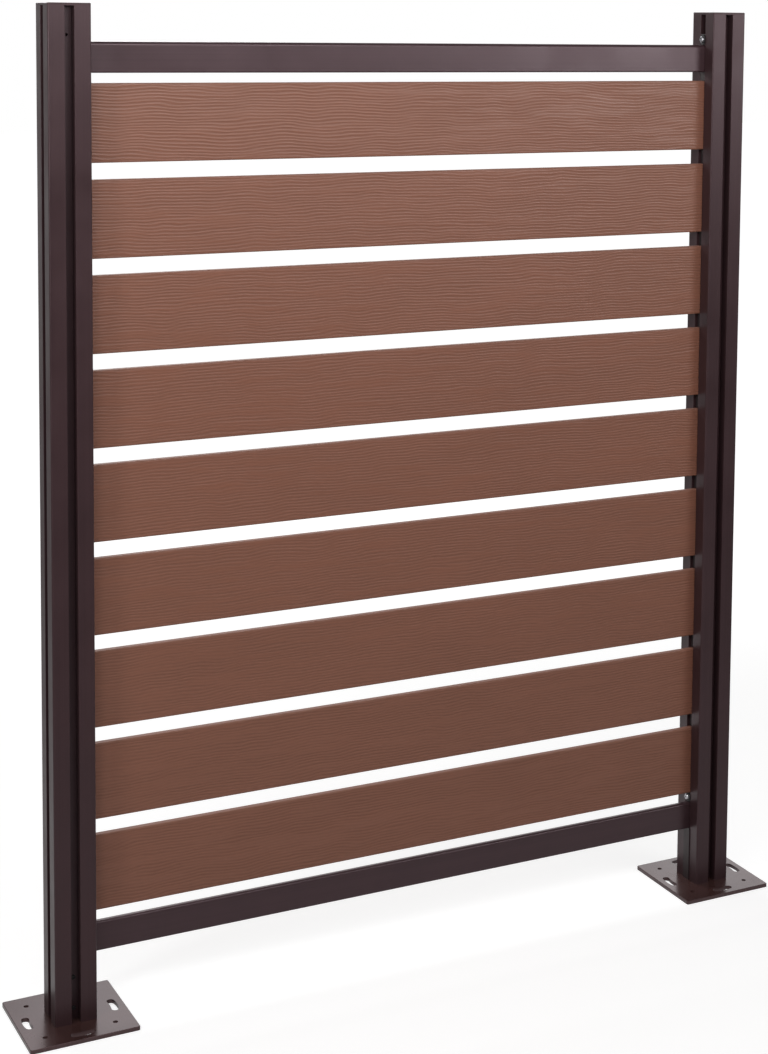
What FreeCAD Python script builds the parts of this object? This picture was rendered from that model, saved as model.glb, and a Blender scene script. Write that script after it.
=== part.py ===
"""Garden privacy screen: nine composite boards stacked between two grooved aluminium posts.

Millimetres, +Z up, X along the screen and Y through it. The origin is on the ground, half way
between the two posts. Each post stands on a steel base plate with a spigot inside the post. The
boards, the two rails and the spacers between them are dropped into the posts' inner grooves, so
everything above a base plate rests on the piece below it. Nothing moves.
"""

import FreeCAD
import Part
import Sketcher
import math
import os

V = FreeCAD.Vector
doc = FreeCAD.newDocument("PrivacyScreen")

# ---------------------------------------------------------------------------------------- sizes

SIZES = {
    # the posts: a square extrusion with one groove down each side
    "post_spacing": 1460,
    "post_width": 82,
    "post_length": 1946,
    "post_wall": 2.2,
    "post_corner_radius": 3,
    "groove_width": 18,
    "groove_depth": 21,
    "groove_lip_radius": 0.8,
    # the caps
    "cap_thickness": 5,
    "cap_edge_bevel": 1,
    "cap_plug_depth": 14,
    "cap_plug_wall": 2.5,
    # the base plates and the spigots that stand on them
    "plate_width": 213,
    "plate_thickness": 8,
    "plate_corner_radius": 4,
    "plate_edge_bevel": 0.8,
    "anchor_slot_circle": 86,
    "anchor_slot_width": 15,
    "anchor_slot_span": 48,
    "anchor_hole_offset": 68.5,
    "anchor_hole_diameter": 10,
    "spigot_height": 125,
    "spigot_wall": 3,
    "cavity_clearance": 0.3,
    # the boards
    "board_count": 9,
    "board_height": 150,
    "board_thickness": 16,
    "board_edge_radius": 2.5,
    "board_end_clearance": 3,
    # the rails, above and below the boards
    "rail_height": 59,
    "rail_thickness": 16,
    "rail_wall": 1.6,
    "rail_top_radius": 6.5,
    "rail_bottom_radius": 2.7,
    "top_rail_gap": 19,
    "bottom_rail_gap": 23,
    "bottom_rail_lift": 119,
    "head_room": 66,
    # the boards share the height between the two rails, so their gap comes from the post's length
    "board_gap": "=(post_length - head_room - 2 * rail_height - top_rail_gap - bottom_rail_gap"
                 " - bottom_rail_lift - board_count * board_height) / (board_count - 1)",
    # the spacers in the grooves
    "spacer_side_clearance": 0.5,
    "spacer_wall": 2,
    "board_spacer_recess": 6.5,
    "rail_spacer_recess": 0.5,
    "strip_lip_width": 22,
    "strip_lip_thickness": 2,
    "rail_stop_height": 24,
    # the screws that hold the rails down and the posts to their spigots
    "washer_diameter": 22,
    "washer_thickness": 1.5,
    "rail_screw_lift": 12,
    "rail_screw_length": 34,
    "screw_head_diameter": 14,
    "screw_head_height": 4,
    "crown_taper": 0.72,
    "screw_diameter": 5,
    "screw_hole_diameter": 5.6,
    "drive_width": 5,
    "drive_depth": 2,
    "foot_screw_length": 12,
    "foot_screw_head_diameter": 9,
    "foot_screw_head_height": 3,
    "foot_screw_low": 22,
    "foot_screw_high": 83,
}
sheet = doc.addObject("Spreadsheet::Sheet", "Sizes")
for row, (alias, value) in enumerate(SIZES.items(), start=1):
    sheet.set("A%d" % row, alias)
    sheet.set("B%d" % row, str(value))
    sheet.setAlias("B%d" % row, alias)
doc.recompute()


def size(alias):
    """The value of one named cell, for counts and for choosing edges."""
    return float(sheet.get(alias))


# What several pieces share, as expressions of the sheet's cells.
GROOVE_FLOOR = "(Sizes.post_width / 2 - Sizes.groove_depth)"
CAVITY = "(Sizes.post_width - 2 * Sizes.groove_depth - 2 * Sizes.post_wall)"
SPIGOT_WIDTH = "(%s - 2 * Sizes.cavity_clearance)" % CAVITY
CLEAR_WIDTH = "(Sizes.post_spacing - Sizes.post_width)"
BOARD_LENGTH = "(%s + 2 * Sizes.groove_depth - 2 * Sizes.board_end_clearance)" % CLEAR_WIDTH
BOTTOM_RAIL_Z = "(Sizes.plate_thickness + Sizes.bottom_rail_lift)"
BOTTOM_RAIL_TOP_Z = "(%s + Sizes.rail_height)" % BOTTOM_RAIL_Z
BOARDS_Z = "(%s + Sizes.bottom_rail_gap)" % BOTTOM_RAIL_TOP_Z
BOARD_PITCH = "(Sizes.board_height + Sizes.board_gap)"
BOARDS_TOP_Z = "(%s + Sizes.board_count * %s - Sizes.board_gap)" % (BOARDS_Z, BOARD_PITCH)
TOP_RAIL_Z = "(%s + Sizes.top_rail_gap)" % BOARDS_TOP_Z
TOP_RAIL_TOP_Z = "(%s + Sizes.rail_height)" % TOP_RAIL_Z
POST_TOP_Z = "(Sizes.plate_thickness + Sizes.post_length)"
LOW_SCREW_Z = "(%s + Sizes.rail_screw_lift)" % BOTTOM_RAIL_TOP_Z
HIGH_SCREW_Z = "(%s + Sizes.rail_screw_lift)" % TOP_RAIL_TOP_Z
SIDES = {"left": -1, "right": 1}


# ------------------------------------------------------------------- sketches and their features


def new_body(label, x="0", y="0", z="0"):
    """A body named for its piece, placed by three expressions."""
    body = doc.addObject("PartDesign::Body", label)
    body.Label = label
    place(body, x, y, z)
    return body


def place(thing, x, y, z):
    for axis, expression in zip("xyz", (x, y, z)):
        thing.setExpression("Placement.Base." + axis, expression)


def new_sketch(body, role, lift="0", across="0"):
    """An empty sketch on one of the body's own planes, lifted off it and moved across it."""
    sketch = body.newObject("Sketcher::SketchObject", body.Name + "_sketch")
    plane = next(part for part in body.Origin.OriginFeatures if part.Role == role)
    sketch.AttachmentSupport = [(plane, "")]
    sketch.MapMode = "FlatFace"
    sketch.setExpression("AttachmentOffset.Base.z", lift)
    sketch.setExpression("AttachmentOffset.Base.y", across)
    return sketch


def dimension(sketch, name, expression, *constraint):
    """One named dimension of a sketch, driven by an expression."""
    index = sketch.addConstraint(Sketcher.Constraint(*constraint))
    sketch.renameConstraint(index, name)
    sketch.setExpression("Constraints." + name, expression)


def add_rectangle(sketch, width, height):
    """A rectangle centred on the sketch's origin."""
    corners = [V(-10, -10, 0), V(10, -10, 0), V(10, 10, 0), V(-10, 10, 0)]
    first = sketch.GeometryCount
    for index in range(4):
        sketch.addGeometry(Part.LineSegment(corners[index], corners[(index + 1) % 4]))
    for index in range(4):
        after = first + (index + 1) % 4
        sketch.addConstraint(Sketcher.Constraint("Coincident", first + index, 2, after, 1))
        direction = "Horizontal" if index % 2 == 0 else "Vertical"
        sketch.addConstraint(Sketcher.Constraint(direction, first + index))
    sketch.addConstraint(Sketcher.Constraint("Symmetric", first, 1, first + 2, 1, -1, 1))
    dimension(sketch, "width%d" % first, width, "DistanceX", first, 1, first, 2, 20)
    dimension(sketch, "height%d" % first, height, "DistanceY", first + 1, 1, first + 1, 2, 20)


def add_circle(sketch, diameter, height=None):
    """A circle on the sketch's upright axis, at a height above its origin."""
    first = sketch.GeometryCount
    sketch.addGeometry(Part.Circle(V(0, 10 if height else 0, 0), V(0, 0, 1), 3))
    if height:
        sketch.addConstraint(Sketcher.Constraint("PointOnObject", first, 3, -2))
        dimension(sketch, "lift%d" % first, height, "DistanceY", -1, 1, first, 3, 10)
    else:
        sketch.addConstraint(Sketcher.Constraint("Coincident", first, 3, -1, 1))
    dimension(sketch, "bore%d" % first, diameter, "Diameter", first, 6)


def pad(body, sketch, length, symmetric=False):
    made = body.newObject("PartDesign::Pad", body.Name + "_pad")
    made.Profile = sketch
    made.SideType = "Symmetric" if symmetric else "One side"
    made.setExpression("Length", length)
    sketch.Visibility = False
    return made


def pocket(body, sketch, length, symmetric=False, reverse=False):
    """A cut of a stated depth; it must take something away, or the build stops."""
    doc.recompute()
    before = body.Shape.Volume
    made = body.newObject("PartDesign::Pocket", body.Name + "_pocket")
    made.Profile = sketch
    made.SideType = "Symmetric" if symmetric else "One side"
    made.Reversed = reverse
    made.setExpression("Length", length)
    doc.recompute()
    if not body.Shape.Volume < before:
        raise RuntimeError("%s cuts nothing" % made.Name)
    return made


def quarter_turns(body, feature, sketch):
    """The same feature on all four sides, turned about the sketch's normal."""
    pattern = body.newObject("PartDesign::PolarPattern", body.Name + "_pattern")
    pattern.Originals = [feature]
    pattern.Axis = (sketch, ["N_Axis"])
    pattern.Angle = 360
    pattern.Occurrences = 4
    body.Tip = pattern
    return pattern


def edges_where(feature, wanted):
    """The names of a feature's edges that a test picks out by their two ends."""
    doc.recompute()
    names = []
    for index, edge in enumerate(feature.Shape.Edges, start=1):
        if len(edge.Vertexes) == 2 and wanted(edge.Vertexes[0].Point, edge.Vertexes[1].Point):
            names.append("Edge%d" % index)
    return names


def dress(body, kind, feature, edges, radius):
    """A fillet or chamfer of the named edges."""
    made = body.newObject("PartDesign::" + kind, body.Name + "_" + kind.lower())
    made.Base = (feature, edges)
    made.setExpression("Radius" if kind == "Fillet" else "Size", radius)
    body.Tip = made
    return made


def upright(a, b):
    return abs(a.x - b.x) < 1e-6 and abs(a.y - b.y) < 1e-6


def lengthwise(a, b):
    return abs(a.y - b.y) < 1e-6 and abs(a.z - b.z) < 1e-6


# ---------------------------------------------------------------------------------------- posts


def make_post(side):
    """One extrusion: a rounded square with four grooves, hollow in its middle and its corners."""
    body = new_body(side + "_post", "%d * Sizes.post_spacing / 2" % SIDES[side], "0",
                    "Sizes.plate_thickness")
    outline = new_sketch(body, "XY_Plane")
    add_rectangle(outline, "Sizes.post_width", "Sizes.post_width")
    bar = pad(body, outline, "Sizes.post_length")
    dress(body, "Fillet", bar, edges_where(bar, upright), "Sizes.post_corner_radius")

    mouth = new_sketch(body, "XY_Plane", across="%s + Sizes.groove_depth / 2" % GROOVE_FLOOR)
    add_rectangle(mouth, "Sizes.groove_width", "Sizes.groove_depth")
    grooves = quarter_turns(body, pocket(body, mouth, "Sizes.post_length", reverse=True), outline)
    across = [size("groove_width") / 2, size("post_width") / 2]
    lips = edges_where(grooves, lambda a, b: upright(a, b) and all(
        abs(found - wanted) < 1e-6 for found, wanted in zip(sorted((abs(a.x), abs(a.y))), across)))
    dress(body, "Fillet", grooves, lips, "Sizes.groove_lip_radius")

    middle = new_sketch(body, "XY_Plane")
    add_rectangle(middle, CAVITY, CAVITY)
    pocket(body, middle, "Sizes.post_length", reverse=True)

    # each corner chamber lies between two groove walls and opens into the middle
    near = "(Sizes.groove_width / 2 + Sizes.post_wall)"
    far = "(Sizes.post_width / 2 - Sizes.post_wall)"
    corner = new_sketch(body, "XY_Plane", across="(%s + %s) / 2" % (near, far))
    corner.setExpression("AttachmentOffset.Base.x", "(%s + %s) / 2" % (near, far))
    add_rectangle(corner, "%s - %s" % (far, near), "%s - %s" % (far, near))
    chamber = pocket(body, corner, "Sizes.post_length", reverse=True)
    quarter_turns(body, chamber, outline)

    # screw holes through the groove floors: front and back at the foot, and at both rail screws
    foot = new_sketch(body, "XZ_Plane")
    add_circle(foot, "Sizes.screw_hole_diameter", "Sizes.foot_screw_low")
    add_circle(foot, "Sizes.screw_hole_diameter", "Sizes.foot_screw_high")
    add_circle(foot, "Sizes.screw_hole_diameter", "%s - Sizes.plate_thickness" % HIGH_SCREW_Z)
    pocket(body, foot, "Sizes.post_width", symmetric=True)
    rails = new_sketch(body, "YZ_Plane")
    add_circle(rails, "Sizes.screw_hole_diameter", "%s - Sizes.plate_thickness" % LOW_SCREW_Z)
    add_circle(rails, "Sizes.screw_hole_diameter", "%s - Sizes.plate_thickness" % HIGH_SCREW_Z)
    last = pocket(body, rails, "Sizes.post_width", symmetric=True)
    body.Tip = last
    return body


def make_cap(side):
    """A flat aluminium cap that covers the grooves, with a plug that sits in the post's middle."""
    body = new_body(side + "_post_cap", "%d * Sizes.post_spacing / 2" % SIDES[side], "0", POST_TOP_Z)
    outline = new_sketch(body, "XY_Plane")
    add_rectangle(outline, "Sizes.post_width", "Sizes.post_width")
    plate = pad(body, outline, "Sizes.cap_thickness")
    rounded = dress(body, "Fillet", plate, edges_where(plate, upright), "Sizes.post_corner_radius")
    top = size("cap_thickness")
    rim = edges_where(rounded, lambda a, b: abs(a.z - top) < 1e-6 and abs(b.z - top) < 1e-6)
    dress(body, "Chamfer", rounded, rim, "Sizes.cap_edge_bevel")
    skirt = new_sketch(body, "XY_Plane")
    add_rectangle(skirt, SPIGOT_WIDTH, SPIGOT_WIDTH)
    inner = "%s - 2 * Sizes.cap_plug_wall" % SPIGOT_WIDTH
    add_rectangle(skirt, inner, inner)
    plug = pad(body, skirt, "Sizes.cap_plug_depth")
    plug.Reversed = True
    body.Tip = plug
    return body


# --------------------------------------------------------------------------------- base plates


def add_kidney(sketch, circle, width, span):
    """A curved slot about the sketch's origin, crossing its first axis."""
    radius = size("anchor_slot_circle")
    half = size("anchor_slot_width") / 2
    reach = (size("anchor_slot_span") - 2 * half) / 2
    turn = math.asin(reach / radius)
    up = V(0, 0, 1)
    ends = [V(radius * math.cos(turn), sign * reach, 0) for sign in (-1, 1)]
    sketch.addGeometry(Part.ArcOfCircle(Part.Circle(V(0, 0, 0), up, radius + half), -turn, turn))
    sketch.addGeometry(Part.ArcOfCircle(Part.Circle(V(0, 0, 0), up, radius - half), -turn, turn))
    sketch.addGeometry(Part.ArcOfCircle(Part.Circle(ends[1], up, half), turn, turn + math.pi))
    sketch.addGeometry(Part.ArcOfCircle(Part.Circle(ends[0], up, half), -turn - math.pi, -turn))
    for arc in (0, 1):
        sketch.addConstraint(Sketcher.Constraint("Coincident", arc, 3, -1, 1))
    for first, second in (((0, 2), (2, 1)), ((2, 2), (1, 2)), ((1, 1), (3, 1)), ((3, 2), (0, 1))):
        sketch.addConstraint(Sketcher.Constraint("Tangent", *first, *second))
    sketch.addConstraint(Sketcher.Constraint("Vertical", 2, 3, 3, 3))
    dimension(sketch, "outer", "%s + %s / 2" % (circle, width), "Radius", 0, radius + half)
    dimension(sketch, "inner", "%s - %s / 2" % (circle, width), "Radius", 1, radius - half)
    dimension(sketch, "reach", "%s - %s" % (span, width), "DistanceY", 3, 3, 2, 3, 2 * reach)


def make_base_plate(side):
    """Eight-millimetre steel plate: a curved slot on each side and a round hole at each corner."""
    body = new_body(side + "_base_plate", "%d * Sizes.post_spacing / 2" % SIDES[side])
    outline = new_sketch(body, "XY_Plane")
    add_rectangle(outline, "Sizes.plate_width", "Sizes.plate_width")
    plate = pad(body, outline, "Sizes.plate_thickness")
    rounded = dress(body, "Fillet", plate, edges_where(plate, upright), "Sizes.plate_corner_radius")
    top = size("plate_thickness")
    rim = edges_where(rounded, lambda a, b: abs(a.z - top) < 1e-6 and abs(b.z - top) < 1e-6)
    dress(body, "Chamfer", rounded, rim, "Sizes.plate_edge_bevel")

    slot = new_sketch(body, "XY_Plane")
    add_kidney(slot, "Sizes.anchor_slot_circle", "Sizes.anchor_slot_width",
               "Sizes.anchor_slot_span")
    quarter_turns(body, pocket(body, slot, "Sizes.plate_thickness", reverse=True), outline)

    drilling = new_sketch(body, "XY_Plane", across="Sizes.anchor_hole_offset")
    drilling.setExpression("AttachmentOffset.Base.x", "Sizes.anchor_hole_offset")
    add_circle(drilling, "Sizes.anchor_hole_diameter")
    hole = pocket(body, drilling, "Sizes.plate_thickness", reverse=True)
    quarter_turns(body, hole, outline)
    return body


def make_spigot(side):
    """Square steel tube welded upright on the plate; the post slides over it."""
    body = new_body(side + "_base_spigot", "%d * Sizes.post_spacing / 2" % SIDES[side], "0",
                    "Sizes.plate_thickness")
    wall = new_sketch(body, "XY_Plane")
    add_rectangle(wall, SPIGOT_WIDTH, SPIGOT_WIDTH)
    bore = "%s - 2 * Sizes.spigot_wall" % SPIGOT_WIDTH
    add_rectangle(wall, bore, bore)
    pad(body, wall, "Sizes.spigot_height")
    drilling = new_sketch(body, "XZ_Plane")
    add_circle(drilling, "Sizes.screw_diameter", "Sizes.foot_screw_low")
    add_circle(drilling, "Sizes.screw_diameter", "Sizes.foot_screw_high")
    body.Tip = pocket(body, drilling, SPIGOT_WIDTH, symmetric=True)
    return body


# ------------------------------------------------------------------------------ boards and rails


def make_board(number):
    """Board 1 is the top one. A solid composite plank with rounded long edges."""
    lift = "%s + (Sizes.board_count - %d) * %s + Sizes.board_height / 2"
    body = new_body("board_%d" % number, "0", "0", lift % (BOARDS_Z, number, BOARD_PITCH))
    section = new_sketch(body, "YZ_Plane")
    add_rectangle(section, "Sizes.board_thickness", "Sizes.board_height")
    plank = pad(body, section, BOARD_LENGTH, symmetric=True)
    dress(body, "Fillet", plank, edges_where(plank, lengthwise), "Sizes.board_edge_radius")
    return body


def make_rail(name, bottom):
    """Aluminium box section, well rounded along its top and a little along its underside."""
    body = new_body(name, "0", "0", "%s + Sizes.rail_height / 2" % bottom)
    section = new_sketch(body, "YZ_Plane")
    add_rectangle(section, "Sizes.rail_thickness", "Sizes.rail_height")
    bar = pad(body, section, BOARD_LENGTH, symmetric=True)
    top = edges_where(bar, lambda a, b: lengthwise(a, b) and a.z > 0)
    crest = dress(body, "Fillet", bar, top, "Sizes.rail_top_radius")
    under = edges_where(crest, lambda a, b: lengthwise(a, b) and a.z < -size("rail_height") / 3)
    dress(body, "Fillet", crest, under, "Sizes.rail_bottom_radius")

    # the hollow's roof is lower than the rounded top, so that the wall is nowhere thin
    drop = "(Sizes.rail_top_radius - Sizes.rail_wall)"
    hollow = new_sketch(body, "YZ_Plane", across="-%s / 2" % drop)
    add_rectangle(hollow, "Sizes.rail_thickness - 2 * Sizes.rail_wall",
                  "Sizes.rail_height - 2 * Sizes.rail_wall - %s" % drop)
    body.Tip = pocket(body, hollow, BOARD_LENGTH, symmetric=True)
    return body


# --------------------------------------------------------------- spacers and strips in the grooves


def box(name, length, width, height, x, y, z):
    made = doc.addObject("Part::Box", name)
    for key, value in (("Length", length), ("Width", width), ("Height", height)):
        made.setExpression(key, value)
    place(made, x, y, z)
    return made


def joined(label, kind, base, tool):
    made = doc.addObject("Part::" + kind, label)
    made.Label = label
    made.Base = base
    made.Tool = tool
    return made


def groove_block(name, side, recess, height, bottom):
    """A block in the inner groove, from the groove's floor to a recess behind its mouth."""
    depth = "(Sizes.groove_depth - %s)" % recess
    width = "(Sizes.groove_width - 2 * Sizes.spacer_side_clearance)"
    if side == "left":
        start = "-%s / 2 - Sizes.groove_depth" % CLEAR_WIDTH
    else:
        start = "%s / 2 + %s" % (CLEAR_WIDTH, recess)
    return box(name, depth, width, height, start, "-%s / 2" % width, bottom), depth, width, start


def make_spacer(label, side, recess, height, bottom):
    """A short length of plastic box section, cut to the gap that it holds open."""
    outer, depth, width, start = groove_block(label + "_outer", side, recess, height, bottom)
    wall = "Sizes.spacer_wall"
    bore = box(label + "_bore", "%s - 2 * %s" % (depth, wall), "%s - 2 * %s" % (width, wall),
               height, "%s + %s" % (start, wall), "-%s / 2 + %s" % (width, wall), bottom)
    return joined(label, "Cut", outer, bore)


def make_drilled_block(label, side, recess, height, bottom, screw_z):
    """A solid block that a rail screw passes through."""
    block, depth, width, start = groove_block(label + "_blank", side, recess, height, bottom)
    drill = doc.addObject("Part::Cylinder", label + "_drill")
    drill.setExpression("Radius", "Sizes.screw_hole_diameter / 2")
    drill.setExpression("Height", "Sizes.groove_depth")
    drill.Placement.Rotation = FreeCAD.Rotation(V(0, 1, 0), 90)
    place(drill, start if side == "left" else "%s / 2" % CLEAR_WIDTH, "0", screw_z)
    return joined(label, "Cut", block, drill)


def make_support_strip(side):
    """A lipped strip in the inner groove, standing on the base plate under the bottom rail."""
    label = side + "_support_strip"
    stem, depth, width, start = groove_block(label + "_stem", side, "0", "Sizes.bottom_rail_lift",
                                             "Sizes.plate_thickness")
    lip = "Sizes.strip_lip_thickness"
    edge = "-%s / 2" % CLEAR_WIDTH if side == "left" else "%s / 2 - %s" % (CLEAR_WIDTH, lip)
    face = box(label + "_lip", lip, "Sizes.strip_lip_width", "Sizes.bottom_rail_lift", edge,
               "-Sizes.strip_lip_width / 2", "Sizes.plate_thickness")
    return joined(label, "Fuse", stem, face)


# --------------------------------------------------------------------------------------- screws


def cylinder(name, radius, height, x, y, z, turn):
    made = doc.addObject("Part::Cylinder", name)
    made.setExpression("Radius", radius)
    made.setExpression("Height", height)
    made.Placement.Rotation = turn
    place(made, x, y, z)
    return made


def along(axis, sign):
    """The turn that lays a cylinder along the X or the Y axis, either way."""
    if axis == "x":
        return FreeCAD.Rotation(V(0, 1, 0), 90 * sign)
    return FreeCAD.Rotation(V(1, 0, 0), -90 * sign)


def make_screw(name, head_diameter, head_height, length, seat, y, z, axis, sign, middle="0"):
    """A pan-head screw. seat is where its head bears, and sign is the way that it points."""
    turn = along(axis, sign)
    back = "%s - %d * %s" % (seat, sign, head_height)

    def at(distance):
        return (distance, y, z) if axis == "x" else (middle, distance, z)

    shank = cylinder(name + "_shank", "Sizes.screw_diameter / 2", length, *at(seat), turn)
    rim = cylinder(name + "_rim", head_diameter + " / 2", "%s / 2" % head_height,
                   *at("%s - %d * %s / 2" % (seat, sign, head_height)), turn)
    crown = doc.addObject("Part::Cone", name + "_crown")
    crown.setExpression("Radius1", "%s / 2 * Sizes.crown_taper" % head_diameter)
    crown.setExpression("Radius2", "%s / 2" % head_diameter)
    crown.setExpression("Height", "%s / 2" % head_height)
    crown.Placement.Rotation = turn
    place(crown, *at(back))
    head = joined(name + "_head", "Fuse", crown, rim)
    whole = joined(name + "_whole", "Fuse", head, shank)
    drive = doc.addObject("Part::Prism", name + "_drive")
    drive.Polygon = 6
    drive.setExpression("Circumradius", "Sizes.drive_width / 2")
    drive.setExpression("Height", "Sizes.drive_depth")
    drive.Placement.Rotation = turn
    place(drive, *at(back))
    return joined(name, "Cut", whole, drive)


def make_washer(name, side, z):
    """A flat washer that bridges the mouth of the groove."""
    sign = SIDES[side]
    face = "%d * %s / 2" % (sign, CLEAR_WIDTH)
    start = "%s - %d * Sizes.washer_thickness" % (face, sign)
    disc = cylinder(name + "_disc", "Sizes.washer_diameter / 2", "Sizes.washer_thickness",
                    start, "0", z, along("x", sign))
    bore = cylinder(name + "_bore", "Sizes.screw_hole_diameter / 2", "Sizes.washer_thickness",
                    start, "0", z, along("x", sign))
    return joined(name, "Cut", disc, bore)


def grouped(label, members):
    """Identical fasteners kept together as one piece of several solids."""
    made = doc.addObject("Part::Compound", label)
    made.Label = label
    made.Links = members
    return made


# --------------------------------------------------------------------------------- the assembly

pieces = []
for side in SIDES:
    pieces += [make_post(side), make_cap(side), make_base_plate(side), make_spigot(side)]

for number in range(1, int(size("board_count")) + 1):
    pieces.append(make_board(number))
for name, bottom in (("bottom_rail", BOTTOM_RAIL_Z), ("top_rail", TOP_RAIL_Z)):
    pieces.append(make_rail(name, bottom))

rail_screws, washers = [], []
for side, sign in SIDES.items():
    # spacer 1 is under board 1
    for number in range(1, int(size("board_count"))):
        lift = "%s + (Sizes.board_count - %d) * %s - Sizes.board_gap"
        pieces.append(make_spacer("%s_board_spacer_%d" % (side, number), side,
                                  "Sizes.board_spacer_recess", "Sizes.board_gap",
                                  lift % (BOARDS_Z, number, BOARD_PITCH)))
    pieces.append(make_spacer(side + "_top_rail_spacer", side, "Sizes.rail_spacer_recess",
                              "Sizes.top_rail_gap", BOARDS_TOP_Z))
    pieces.append(make_drilled_block(side + "_bottom_rail_spacer", side,
                                     "Sizes.rail_spacer_recess", "Sizes.bottom_rail_gap",
                                     BOTTOM_RAIL_TOP_Z, LOW_SCREW_Z))
    pieces.append(make_drilled_block(side + "_rail_stop", side, "Sizes.rail_spacer_recess",
                                     "Sizes.rail_stop_height", TOP_RAIL_TOP_Z, HIGH_SCREW_Z))
    pieces.append(make_support_strip(side))
    for level, height in (("low", LOW_SCREW_Z), ("high", HIGH_SCREW_Z)):
        washers.append(make_washer("%s_%s_washer" % (side, level), side, height))
        seat = "%d * (%s / 2 - Sizes.washer_thickness)" % (sign, CLEAR_WIDTH)
        rail_screws.append(make_screw("%s_%s_screw" % (side, level), "Sizes.screw_head_diameter",
                                      "Sizes.screw_head_height", "Sizes.rail_screw_length",
                                      seat, "0", height, "x", sign))
    foot_screws = []
    for face, way in (("front", 1), ("back", -1)):
        for level in ("low", "high"):
            foot_screws.append(make_screw(
                "%s_%s_%s_foot" % (side, face, level), "Sizes.foot_screw_head_diameter",
                "Sizes.foot_screw_head_height", "Sizes.foot_screw_length",
                "%d * %s" % (-way, GROOVE_FLOOR), "0",
                "Sizes.plate_thickness + Sizes.foot_screw_%s" % level, "y", way,
                middle="%d * Sizes.post_spacing / 2" % sign))
    pieces.append(grouped(side + "_foot_screws", foot_screws))
pieces.append(grouped("rail_screws", rail_screws))
pieces.append(grouped("rail_washers", washers))

# ------------------------------------------------------------------------------ check and write

doc.recompute()
for thing in doc.Objects:
    for fault in ("Invalid", "Error"):
        if fault in thing.State:
            raise RuntimeError("%s is %s" % (thing.Name, fault))
os.makedirs("parts", exist_ok=True)
for piece in pieces:
    shape = piece.Shape
    if shape.isNull() or not shape.isValid() or not shape.Solids:
        raise RuntimeError("%s has no sound shape" % piece.Label)
    shape.exportStep("parts/%s.step" % piece.Label)
    print("%-26s %d solids %12.1f mm3" % (piece.Label, len(shape.Solids), shape.Volume))
print(len(pieces), "pieces")
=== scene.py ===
"""Looks of a garden privacy screen: nine embossed composite boards and two rails, stacked between
two grooved aluminium posts that stand on bolted-down steel base plates."""

import math

import bpy
from mathutils import Matrix, Vector


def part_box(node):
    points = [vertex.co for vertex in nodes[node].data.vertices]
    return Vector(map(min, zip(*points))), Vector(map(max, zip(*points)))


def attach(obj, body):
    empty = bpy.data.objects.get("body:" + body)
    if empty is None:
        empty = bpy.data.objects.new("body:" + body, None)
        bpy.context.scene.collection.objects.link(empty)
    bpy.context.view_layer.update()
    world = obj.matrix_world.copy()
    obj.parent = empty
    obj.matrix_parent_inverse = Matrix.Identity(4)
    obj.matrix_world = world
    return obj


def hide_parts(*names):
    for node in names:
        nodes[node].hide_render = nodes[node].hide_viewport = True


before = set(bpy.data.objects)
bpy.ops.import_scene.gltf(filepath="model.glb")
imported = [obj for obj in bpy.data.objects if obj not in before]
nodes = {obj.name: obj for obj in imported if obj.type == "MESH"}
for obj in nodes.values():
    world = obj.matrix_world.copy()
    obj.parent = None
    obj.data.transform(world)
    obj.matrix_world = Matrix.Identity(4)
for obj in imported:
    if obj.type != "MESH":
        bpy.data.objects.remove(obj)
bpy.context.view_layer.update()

# ------------------------------------------------------------------------------------- camera
# The product photograph looks at the near face from its left end, from above head height. It is
# cropped from a larger picture, so the lens axis is off its middle and the frame is shifted.

CAMERA_PLACE = (-1.7895, -3.7319, 1.9299)
CAMERA_TURN = 0.48841
CAMERA_DIP = 0.08706
CAMERA_ROLL = 0.01138
LENS = 69.53
LENS_SHIFT = (-0.1106, -0.3092)

camera = bpy.data.cameras.new("product_camera")
camera.sensor_width = 36.0
camera.lens = LENS
camera.shift_x, camera.shift_y = LENS_SHIFT
camera.clip_end = 200.0
camera_rig = bpy.data.objects.new("product_camera", camera)
camera_rig.matrix_world = (Matrix.Translation(CAMERA_PLACE)
                           @ Matrix.Rotation(-CAMERA_TURN, 4, "Z")
                           @ Matrix.Rotation(math.pi / 2 - CAMERA_DIP, 4, "X")
                           @ Matrix.Rotation(CAMERA_ROLL, 4, "Z"))
bpy.context.scene.collection.objects.link(camera_rig)
bpy.context.scene.camera = camera_rig

# ------------------------------------------------------------------------ white studio and floor
# A white backdrop behind the screen and to its right, white to the camera and in reflections,
# and a dim room on the near side. Its own light on the screen is weak. The floor keeps the shadow.


def linear(code):
    """An sRGB hex colour as the linear RGBA that a shader takes."""
    channels = [int(code[start:start + 2], 16) / 255 for start in (0, 2, 4)]
    return tuple(c / 12.92 if c <= 0.04045 else ((c + 0.055) / 1.055) ** 2.4
                 for c in channels) + (1.0,)


def add(tree, kind, settings=None, inputs=None):
    """Adds a node, sets its properties, and fills or links its inputs."""
    node = tree.nodes.new(kind)
    for name, value in (settings or {}).items():
        setattr(node, name, value)
    for socket, value in (inputs or {}).items():
        if isinstance(value, bpy.types.NodeSocket):
            tree.links.new(value, node.inputs[socket])
        else:
            node.inputs[socket].default_value = value
    return node


scene = bpy.context.scene
scene.view_settings.view_transform = "Standard"

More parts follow.
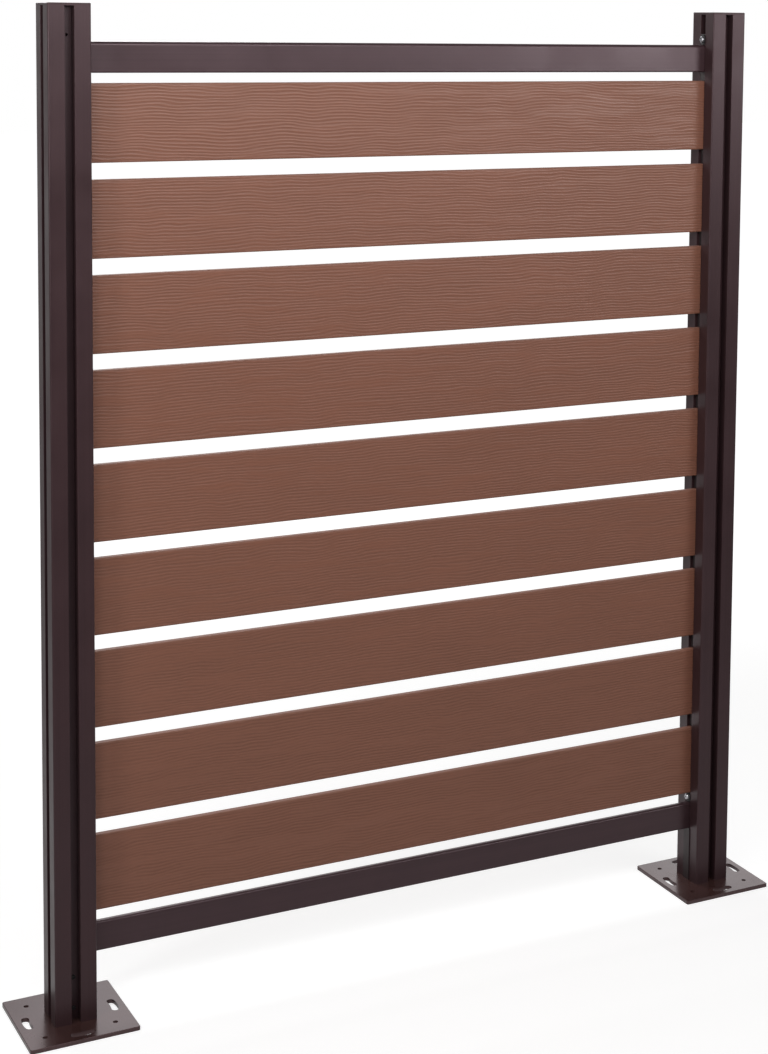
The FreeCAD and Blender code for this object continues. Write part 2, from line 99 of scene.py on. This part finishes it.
ROOM_LIGHT = 0.08
DIM_ROOM = 0.2
BACKDROP_SIDE = (0.6, 0.8, 0.0)
BACKDROP_EDGE = {"From Min": 0.4, "From Max": 0.9, "To Min": DIM_ROOM, "To Max": 1.0}
world = bpy.data.worlds.new("white_cyclorama")
world.use_nodes = True
world.node_tree.nodes.clear()
rays = add(world.node_tree, "ShaderNodeLightPath")
seen = add(world.node_tree, "ShaderNodeMath", {"operation": "MAXIMUM"},
           {0: rays.outputs["Is Camera Ray"], 1: rays.outputs["Is Transmission Ray"]})
aim = add(world.node_tree, "ShaderNodeTexCoord").outputs["Generated"]
behind = add(world.node_tree, "ShaderNodeVectorMath", {"operation": "DOT_PRODUCT"},
             {0: aim, 1: BACKDROP_SIDE}).outputs["Value"]
mirrored = add(world.node_tree, "ShaderNodeMapRange", {"interpolation_type": "SMOOTHSTEP"},
               {"Value": behind, **BACKDROP_EDGE})
level = add(world.node_tree, "ShaderNodeMapRange", None,
            {"Value": rays.outputs["Is Glossy Ray"], "To Min": ROOM_LIGHT,
             "To Max": mirrored.outputs["Result"]})
level = add(world.node_tree, "ShaderNodeMapRange", None,
            {"Value": seen.outputs[0], "To Min": level.outputs["Result"], "To Max": 1.0})
glow = add(world.node_tree, "ShaderNodeBackground", None,
           {"Color": (1.0, 1.0, 1.0, 1.0), "Strength": level.outputs["Result"]})
add(world.node_tree, "ShaderNodeOutputWorld", None, {"Surface": glow.outputs[0]})
scene.world = world

FLOOR_HALF = 30.0
FLOOR_DROP = 0.0006
FLOOR_LIFT = 0.72
NEAR_FLOOR_MIRRORED = 0.5
floor_mesh = bpy.data.meshes.new("studio_floor")
floor_mesh.from_pydata([(x * FLOOR_HALF, y * FLOOR_HALF, -FLOOR_DROP)
                        for x, y in ((-1, -1), (1, -1), (1, 1), (-1, 1))],
                       [], [(0, 1, 2, 3)])
floor = bpy.data.objects.new("studio_floor", floor_mesh)
scene.collection.objects.link(floor)

# white paint that shows its shadows near the screen and runs out into plain white further off;
# in reflections it is as white as the backdrop behind the screen, and dimmer on the near side
floor_paint = bpy.data.materials.new("matt_white_floor_paint")
floor_paint.use_nodes = True
tree = floor_paint.node_tree
tree.nodes.clear()
rays = add(tree, "ShaderNodeLightPath")
place = add(tree, "ShaderNodeTexCoord")
distance = add(tree, "ShaderNodeVectorMath", {"operation": "LENGTH"}, {0: place.outputs["Object"]})
heading = add(tree, "ShaderNodeVectorMath", {"operation": "NORMALIZE"}, {0: place.outputs["Object"]})
behind = add(tree, "ShaderNodeVectorMath", {"operation": "DOT_PRODUCT"},
             {0: heading.outputs[0], 1: BACKDROP_SIDE}).outputs["Value"]
backdrop = add(tree, "ShaderNodeMapRange", {"interpolation_type": "SMOOTHSTEP"},
               {"Value": behind, **BACKDROP_EDGE})
near = add(tree, "ShaderNodeMapRange", {"interpolation_type": "SMOOTHSTEP"},
           {"Value": distance.outputs["Value"], "From Min": 1.2, "From Max": 3.0,
            "To Min": NEAR_FLOOR_MIRRORED, "To Max": DIM_ROOM})
mirrored = add(tree, "ShaderNodeMath", {"operation": "MAXIMUM"},
               {0: backdrop.outputs["Result"], 1: near.outputs["Result"]})
mirrored = add(tree, "ShaderNodeMath", {"operation": "MULTIPLY"},
               {0: rays.outputs["Is Glossy Ray"], 1: mirrored.outputs[0]})
seen = add(tree, "ShaderNodeMath", {"operation": "MAXIMUM"},
           {0: rays.outputs["Is Camera Ray"], 1: mirrored.outputs[0]})
far = add(tree, "ShaderNodeMapRange", {"interpolation_type": "SMOOTHSTEP"},
          {"Value": distance.outputs["Value"], "From Min": 1.6, "From Max": 4.2})
lift = add(tree, "ShaderNodeMapRange", None,
           {"Value": far.outputs["Result"], "To Min": FLOOR_LIFT, "To Max": 1.0})
lift = add(tree, "ShaderNodeMath", {"operation": "MULTIPLY"},
           {0: lift.outputs["Result"], 1: seen.outputs[0]})
paint = add(tree, "ShaderNodeBsdfDiffuse", None, {"Color": linear("B4B4B4")})
white = add(tree, "ShaderNodeEmission", None,
            {"Color": (1.0, 1.0, 1.0, 1.0), "Strength": lift.outputs[0]})
both = add(tree, "ShaderNodeAddShader", None, {0: paint.outputs[0], 1: white.outputs[0]})
add(tree, "ShaderNodeOutputMaterial", None, {"Surface": both.outputs[0]})
floor_mesh.materials.append(floor_paint)

# ------------------------------------------------------------------------------------ soft lamps
# A large box hangs close and high, so the light falls off down the screen. Smaller ones fill the
# left and put a sheen on the upper right, and the two behind light the far face.


def hang_soft_box(name, place, target, width, height, watts):
    """A rectangular lamp at a place, turned to face a target."""
    lamp = bpy.data.lights.new(name, "AREA")
    lamp.shape = "RECTANGLE"
    lamp.size = width
    lamp.size_y = height
    lamp.energy = watts
    holder = bpy.data.objects.new(name, lamp)
    aim = (Vector(target) - Vector(place)).to_track_quat("-Z", "Y")
    holder.matrix_world = Matrix.Translation(place) @ aim.to_matrix().to_4x4()
    scene.collection.objects.link(holder)


hang_soft_box("main_box", (-0.05, -2.2, 2.65), (0.0, 0.0, 2.6), 2.0, 1.1, 39)
hang_soft_box("right_sheen_box", (2.1, -2.6, 2.15), (0.8, 0.0, 2.3), 1.2, 0.8, 25)
hang_soft_box("left_fill_box", (-2.3, -2.3, 2.3), (-0.2, 0.0, 1.9), 1.0, 1.2, 24)
hang_soft_box("left_strip_box", (-3.1, -1.2, 2.1), (0.0, 0.0, 1.8), 0.5, 1.3, 32)
hang_soft_box("back_box", (1.9, 3.4, 1.9), (0.2, 0.0, 1.0), 3.6, 1.7, 13)
hang_soft_box("high_back_box", (-0.3, 2.4, 3.0), (0.0, 0.0, 1.0), 1.8, 1.0, 50)

# ----------------------------------------------------------------------------------------- posts
# Extruded aluminium with a groove down each side, powder coated dark bronze. The coat is satin,
# with a faint orange peel over the die lines that run the length of an extrusion.

DIE_LINE = 0.0035
ORANGE_PEEL = 0.004
BRONZE_SHEEN = (1.0, 0.81, 0.87, 1.0)


def powder_coat(name, code, lines_along, roughness, gloss):
    """Satin polyester powder coat, with die lines along one axis of the extrusion."""
    coat = bpy.data.materials.new(name)
    coat.use_nodes = True
    tree = coat.node_tree
    shader = tree.nodes["Principled BSDF"]
    place = add(tree, "ShaderNodeTexCoord").outputs["Object"]
    # die lines: long thin streaks, drawn 3.5 mm apart because the real ones are too fine to show
    stretch = [1 / DIE_LINE] * 3
    stretch["XYZ".index(lines_along)] = 1 / 0.9
    streaks = add(tree, "ShaderNodeTexNoise", None,
                  {"Vector": add(tree, "ShaderNodeVectorMath", {"operation": "MULTIPLY"},
                                 {0: place, 1: stretch}).outputs[0],
                   "Scale": 1.0, "Detail": 1.0})
    peel = add(tree, "ShaderNodeTexNoise", None,
               {"Vector": place, "Scale": 1 / ORANGE_PEEL, "Detail": 2.0})
    handling = add(tree, "ShaderNodeTexNoise", None,
                   {"Vector": place, "Scale": 1 / 0.12, "Detail": 4.0, "Roughness": 0.6})
    # the coat is a little thicker or thinner from place to place, which shifts its tone
    tone = add(tree, "ShaderNodeMapRange", None,
               {"Value": handling.outputs["Fac"], "From Min": 0.3, "From Max": 0.7,
                "To Min": 0.9, "To Max": 1.1})
    streak_tone = add(tree, "ShaderNodeMapRange", None,
                      {"Value": streaks.outputs["Fac"], "From Min": 0.3, "From Max": 0.7,
                       "To Min": 0.93, "To Max": 1.07})
    tones = add(tree, "ShaderNodeMath", {"operation": "MULTIPLY"},
                {0: tone.outputs["Result"], 1: streak_tone.outputs["Result"]})
    colour = add(tree, "ShaderNodeVectorMath", {"operation": "SCALE"},
                 {0: linear(code)[:3], "Scale": tones.outputs[0]})
    dullness = add(tree, "ShaderNodeMapRange", None,
                   {"Value": handling.outputs["Fac"], "From Min": 0.3, "From Max": 0.7,
                    "To Min": roughness - 0.05, "To Max": roughness + 0.07})
    relief = add(tree, "ShaderNodeMath", {"operation": "MULTIPLY_ADD"},
                 {0: streaks.outputs["Fac"], 1: 0.6, 2: peel.outputs["Fac"]})
    bump = add(tree, "ShaderNodeBump", None,
               {"Strength": 0.12, "Distance": 0.0004, "Height": relief.outputs[0]})
    tree.links.new(colour.outputs[0], shader.inputs["Base Color"])
    tree.links.new(dullness.outputs["Result"], shader.inputs["Roughness"])
    tree.links.new(bump.outputs[0], shader.inputs["Normal"])
    shader.inputs["IOR"].default_value = 1.5
    shader.inputs["Specular IOR Level"].default_value = gloss
    shader.inputs["Specular Tint"].default_value = BRONZE_SHEEN
    return coat


def finish_with(name, material):
    """Puts one finish on a piece that stays as it was built."""
    for holder in nodes[name].material_slots:
        holder.material = material


post_coat = powder_coat("dark_bronze_powder_coat_on_post", "362527", "Z", 0.36, 0.4)
for side in ("left", "right"):
    finish_with(side + "_post", post_coat)

# ------------------------------------------------------------------------------------- post caps
# Flat cast caps with a bevelled rim, pressed into the posts. Their bronze coat is a little duller
# than on the posts, and its streaks lie along the screen.

cap_coat = powder_coat("dark_bronze_powder_coat_on_cap", "362527", "X", 0.4, 0.4)
for side in ("left", "right"):
    finish_with(side + "_post_cap", cap_coat)

# ----------------------------------------------------------------------------------- base plates
# Laser-cut 8 mm steel with four curved anchor slots and four round holes, coated after welding
# to the spigots. The coat is glossier here, and lying flat it mirrors the white backdrop.

plate_coat = powder_coat("dark_bronze_powder_coat_on_steel", "402B29", "X", 0.24, 0.7)
for side in ("left", "right"):
    finish_with(side + "_base_plate", plate_coat)

# --------------------------------------------------------------------------------------- spigots
# Galvanised square tube inside the foot of each post, welded to the base plate. The post and the
# screws that pin it hide the tube from every side.


def bare_steel(name, code, roughness, grain_size):
    """Metal with a fine uneven surface."""
    metal = bpy.data.materials.new(name)
    metal.use_nodes = True
    tree = metal.node_tree
    shader = tree.nodes["Principled BSDF"]
    place = add(tree, "ShaderNodeTexCoord").outputs["Object"]
    crystals = add(tree, "ShaderNodeTexVoronoi", None, {"Vector": place, "Scale": 1 / grain_size})
    dullness = add(tree, "ShaderNodeMapRange", None,
                   {"Value": crystals.outputs["Color"], "To Min": roughness - 0.06,
                    "To Max": roughness + 0.08})
    shade = add(tree, "ShaderNodeMapRange", None,
                {"Value": crystals.outputs["Distance"], "To Min": 1.0, "To Max": 0.85})
    colour = add(tree, "ShaderNodeVectorMath", {"operation": "SCALE"},
                 {0: linear(code)[:3], "Scale": shade.outputs["Result"]})
    tree.links.new(colour.outputs[0], shader.inputs["Base Color"])
    tree.links.new(dullness.outputs["Result"], shader.inputs["Roughness"])
    shader.inputs["Metallic"].default_value = 1.0
    return metal


zinc = bare_steel("galvanised_zinc_on_steel", "B4B6B8", 0.5, 0.009)
for side in ("left", "right"):
    finish_with(side + "_base_spigot", zinc)

# ---------------------------------------------------------------------------------------- boards
# Wood-plastic composite planks, 150 by 16 mm, with a wood grain rolled into both faces: wavy
# ridges about 6 mm apart that fade, fork and run on. They stand loose in the posts' grooves.

BOARD_COUNT = 9
RIDGE_SPACING = 0.0061
RIDGE_DEPTH = 0.0007
ROW_STEP = 0.0014
COLUMN_STEP = 0.008
EDGE_RADIUS = 0.0025
SLOW_SWAY = 0.024
QUICK_SWAY = 0.0075
FAINTEST_LINE = 0.42
EDGE_DULLNESS = 0.8
FACES_APART = 60.0
SEED_STEP = 3.7


def board_tree():
    """A rounded plank swept along X, with grain pressed into its two broad faces."""
    tree = bpy.data.node_groups.new("embossed_board", "GeometryNodeTree")
    tree.interface.new_socket("Geometry", in_out="OUTPUT", socket_type="NodeSocketGeometry")
    for name in ("Start", "End", "Lift", "Height", "Thickness", "Edge Radius", "Row Step",
                 "Column Step", "Ridge Spacing", "Ridge Depth", "Seed"):
        tree.interface.new_socket(name, in_out="INPUT", socket_type="NodeSocketFloat")
    tree.interface.new_socket("Finish", in_out="INPUT", socket_type="NodeSocketMaterial")
    given = add(tree, "NodeGroupInput").outputs

    def sum_of(a, b):
        return add(tree, "ShaderNodeMath", {"operation": "ADD"}, {0: a, 1: b}).outputs[0]

    def product(a, b):
        return add(tree, "ShaderNodeMath", {"operation": "MULTIPLY"}, {0: a, 1: b}).outputs[0]

    def grain_noise(coordinate, stretch, detail):
        """Noise that is long in X and short in Z, different for every board."""
        scaled = add(tree, "ShaderNodeVectorMath", {"operation": "MULTIPLY"},
                     {0: coordinate, 1: stretch})
        return add(tree, "ShaderNodeTexNoise", {"noise_dimensions": "4D"},
                   {"Vector": scaled.outputs[0], "W": given["Seed"], "Scale": 1.0,
                    "Detail": detail, "Roughness": 0.45}).outputs["Fac"]

    start = add(tree, "ShaderNodeCombineXYZ", None, {"X": given["Start"], "Z": given["Lift"]})
    end = add(tree, "ShaderNodeCombineXYZ", None, {"X": given["End"], "Z": given["Lift"]})
    spine = add(tree, "GeometryNodeCurvePrimitiveLine", None,
                {"Start": start.outputs[0], "End": end.outputs[0]})
    spine = add(tree, "GeometryNodeResampleCurve", {"mode": "LENGTH"},
                {"Curve": spine.outputs[0], "Length": given["Column Step"]})
    outline = add(tree, "GeometryNodeCurvePrimitiveQuadrilateral", {"mode": "RECTANGLE"},
                  {"Width": given["Thickness"], "Height": given["Height"]})
    outline = add(tree, "GeometryNodeFilletCurve", {"mode": "POLY"},
                  {"Curve": outline.outputs[0], "Count": 4, "Radius": given["Edge Radius"]})
    outline = add(tree, "GeometryNodeResampleCurve", {"mode": "LENGTH"},
                  {"Curve": outline.outputs[0], "Length": given["Row Step"]})
    plank = add(tree, "GeometryNodeCurveToMesh", None,
                {"Curve": spine.outputs[0], "Profile Curve": outline.outputs[0],
                 "Fill Caps": True})

    # where on the board, with the two faces far apart in the noise so that their grain differs
    place = add(tree, "GeometryNodeInputPosition").outputs[0]
    apart = add(tree, "ShaderNodeVectorMath", {"operation": "MULTIPLY"},
                {0: place, 1: (1.0, FACES_APART, 1.0)}).outputs[0]
    height = add(tree, "ShaderNodeSeparateXYZ", None, {0: place}).outputs["Z"]
    slow = grain_noise(apart, (1 / 0.10, 1.0, 1 / 0.11), 1.0)
    quick = grain_noise(apart, (1 / 0.055, 1.0, 1 / 0.018), 1.0)
    sway = sum_of(product(sum_of(slow, -0.5), SLOW_SWAY),
                  product(sum_of(quick, -0.5), QUICK_SWAY))
    phase = add(tree, "ShaderNodeMath", {"operation": "DIVIDE"},
                {0: sum_of(height, sway), 1: given["Ridge Spacing"]}).outputs[0]
    wave = add(tree, "ShaderNodeMath", {"operation": "SINE"},
               {0: product(phase, 2 * math.pi)}).outputs[0]
    wave = add(tree, "ShaderNodeMapRange", None,
               {"Value": wave, "From Min": -1.0, "From Max": 1.0}).outputs["Result"]
    strength = grain_noise(apart, (1 / 0.11, 1.0, 1 / 0.012), 1.0)
    strength = add(tree, "ShaderNodeMapRange", {"interpolation_type": "SMOOTHSTEP"},
                   {"Value": strength, "From Min": 0.32, "From Max": 0.55,
                    "To Min": FAINTEST_LINE, "To Max": 1.0}).outputs["Result"]
    relief = product(wave, strength)

    facing = add(tree, "GeometryNodeInputNormal").outputs[0]
    broadside = add(tree, "ShaderNodeMath", {"operation": "ABSOLUTE"},
                    {0: add(tree, "ShaderNodeSeparateXYZ", None, {0: facing}).outputs["Y"]})
    broadside = add(tree, "ShaderNodeMapRange", {"interpolation_type": "SMOOTHSTEP"},
                    {"Value": broadside.outputs[0], "From Min": 0.75,
                     "From Max": 1.0}).outputs["Result"]
    pressed = product(relief, broadside)
    # the narrow edges aren't embossed, but are as matt as the pressed lines, and they also get most
    # of the lines' painted shade
    dull_edge = product(sum_of(product(broadside, -1.0), 1.0), EDGE_DULLNESS)
    kept = add(tree, "GeometryNodeStoreNamedAttribute", {"data_type": "FLOAT", "domain": "POINT"},
               {"Geometry": plank.outputs[0], "Name": "pressed",
                "Value": sum_of(pressed, dull_edge)})
    inward = product(product(pressed, given["Ridge Depth"]), -1.0)
    shift = add(tree, "ShaderNodeVectorMath", {"operation": "SCALE"},
                {0: facing, "Scale": inward})
    moved = add(tree, "GeometryNodeSetPosition", None,
                {"Geometry": kept.outputs[0], "Offset": shift.outputs[0]})
    soft = add(tree, "GeometryNodeSetShadeSmooth", None, {"Geometry": moved.outputs[0]})
    whole = add(tree, "GeometryNodeRealizeInstances", None, {"Geometry": soft.outputs[0]})
    done = add(tree, "GeometryNodeSetMaterial", None,
               {"Geometry": whole.outputs[0], "Material": given["Finish"]})
    add(tree, "NodeGroupOutput", None, {0: done.outputs[0]})
    return tree


def composite():
    """Brown wood-plastic composite: matt, a little darker in the pressed lines, where shade is
    painted in.
    """
    wpc = bpy.data.materials.new("brown_wood_plastic_composite")
    wpc.use_nodes = True
    tree = wpc.node_tree
    shader = tree.nodes["Principled BSDF"]
    place = add(tree, "ShaderNodeTexCoord").outputs["Object"]
    pressed = add(tree, "ShaderNodeAttribute", {"attribute_name": "pressed"}).outputs["Fac"]
    # wood flour in the plastic: short fibres, 12 mm long and 1 mm across
    fibres = add(tree, "ShaderNodeTexNoise", None,
                 {"Vector": add(tree, "ShaderNodeVectorMath", {"operation": "MULTIPLY"},
                                {0: place, 1: (1 / 0.012, 1 / 0.004, 1 / 0.0012)}).outputs[0],
                  "Scale": 1.0, "Detail": 2.0})
    batch = add(tree, "ShaderNodeTexNoise", None,
                {"Vector": add(tree, "ShaderNodeVectorMath", {"operation": "MULTIPLY"},
                               {0: place, 1: (1 / 0.35, 1.0, 1 / 0.08)}).outputs[0],
                 "Scale": 1.0, "Detail": 3.0})
    mixed = add(tree, "ShaderNodeMix", {"data_type": "RGBA"},
                {"Factor": batch.outputs["Fac"], 6: linear("7A4F3E"), 7: linear("855644")})
    # painted shade: the pressed lines of the grain are darkened and the ridges lightened, standing
    # in for the shade and light that the relief catches
    painted_relief_shade = add(tree, "ShaderNodeMapRange", None,
               {"Value": pressed, "To Min": 1.05, "To Max": 0.89})
    speck = add(tree, "ShaderNodeMapRange", None,
                {"Value": fibres.outputs["Fac"], "From Min": 0.3, "From Max": 0.7,
                 "To Min": 0.95, "To Max": 1.05})
    tones = add(tree, "ShaderNodeMath", {"operation": "MULTIPLY"},
                {0: painted_relief_shade.outputs["Result"], 1: speck.outputs["Result"]})
    colour = add(tree, "ShaderNodeVectorMath", {"operation": "SCALE"},
                 {0: mixed.outputs[2], "Scale": tones.outputs[0]})
    dullness = add(tree, "ShaderNodeMapRange", None,
                   {"Value": pressed, "To Min": 0.33, "To Max": 0.7})
    bump = add(tree, "ShaderNodeBump", None,
               {"Strength": 0.25, "Distance": 0.0003, "Height": fibres.outputs["Fac"]})
    tree.links.new(colour.outputs[0], shader.inputs["Base Color"])
    tree.links.new(dullness.outputs["Result"], shader.inputs["Roughness"])
    tree.links.new(bump.outputs[0], shader.inputs["Normal"])
    shader.inputs["IOR"].default_value = 1.5
    shader.inputs["Specular IOR Level"].default_value = 0.52
    return wpc


board_finish = composite()
embossing = board_tree()
sockets = {item.name: item.identifier for item in embossing.interface.items_tree
           if item.item_type == "SOCKET" and item.in_out == "INPUT"}
for number in range(1, BOARD_COUNT + 1):
    low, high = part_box("board_%d" % number)
    blank = bpy.data.objects.new("board_blank", bpy.data.meshes.new("board_blank"))
    scene.collection.objects.link(blank)
    roller = blank.modifiers.new("embossing_roller", "NODES")
    roller.node_group = embossing
    for name, value in (("Start", low[0]), ("End", high[0]), ("Lift", (low[2] + high[2]) / 2),
                        ("Height", high[2] - low[2]), ("Thickness", high[1] - low[1]),
                        ("Edge Radius", EDGE_RADIUS), ("Row Step", ROW_STEP),
                        ("Column Step", COLUMN_STEP), ("Ridge Spacing", RIDGE_SPACING),
                        ("Ridge Depth", RIDGE_DEPTH), ("Seed", SEED_STEP * number),
                        ("Finish", board_finish)):
        roller[sockets[name]] = value
    seen = blank.evaluated_get(bpy.context.evaluated_depsgraph_get())
    mesh = bpy.data.meshes.new_from_object(seen)
    mesh.name = "embossed_board_%d" % number
    board = bpy.data.objects.new("embossed_board_%d" % number, mesh)
    scene.collection.objects.link(board)
    bpy.data.objects.remove(blank)
    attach(board, "root")
    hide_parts("board_%d" % number)

# ----------------------------------------------------------------------------------------- rails
# Aluminium box section above and below the boards, rounded along the top. The bronze coat is a
# little smoother than on the posts and carries more of the sheen.

rail_coat = powder_coat("dark_bronze_powder_coat_on_rail", "38272A", "X", 0.33, 0.5)
for name in ("top_rail", "bottom_rail"):
    finish_with(name, rail_coat)

# --------------------------------------------------------------- spacers, stops and support strips
# Extruded plastic cut to the gaps and dropped into the inner grooves between boards and rails.


def moulded_plastic(name, code):
    """A satin skin, slightly uneven in tone and gloss."""
    plastic = bpy.data.materials.new(name)
    plastic.use_nodes = True
    tree = plastic.node_tree
    shader = tree.nodes["Principled BSDF"]
    place = add(tree, "ShaderNodeTexCoord").outputs["Object"]
    flow = add(tree, "ShaderNodeTexNoise", None,
               {"Vector": place, "Scale": 1 / 0.02, "Detail": 3.0})
    tone = add(tree, "ShaderNodeMapRange", None,
               {"Value": flow.outputs["Fac"], "From Min": 0.3, "From Max": 0.7,
                "To Min": 0.9, "To Max": 1.1})
    colour = add(tree, "ShaderNodeVectorMath", {"operation": "SCALE"},
                 {0: linear(code)[:3], "Scale": tone.outputs["Result"]})
    dullness = add(tree, "ShaderNodeMapRange", None,
                   {"Value": flow.outputs["Fac"], "To Min": 0.45, "To Max": 0.62})
    bump = add(tree, "ShaderNodeBump", None,
               {"Strength": 0.15, "Distance": 0.0003, "Height": flow.outputs["Fac"]})
    tree.links.new(colour.outputs[0], shader.inputs["Base Color"])
    tree.links.new(dullness.outputs["Result"], shader.inputs["Roughness"])
    tree.links.new(bump.outputs[0], shader.inputs["Normal"])
    return plastic


spacer_plastic = moulded_plastic("dark_brown_extruded_pvc", "2C2223")
for name in nodes:
    if "spacer" in name or "stop" in name or "strip" in name:
        finish_with(name, spacer_plastic)

# ---------------------------------------------------------------------------------------- screws
# Bright stainless pan heads over dark washers hold the rails down. Small blackened screws pin
# each post to its spigot through the floors of the front and back grooves.

stainless = bare_steel("polished_stainless_steel", "B9B8BC", 0.3, 0.004)
blackened = moulded_plastic("black_oxide_with_lacquer", "1C191A")
finish_with("rail_screws", stainless)
for name in ("rail_washers", "left_foot_screws", "right_foot_screws"):
    finish_with(name, blackened)
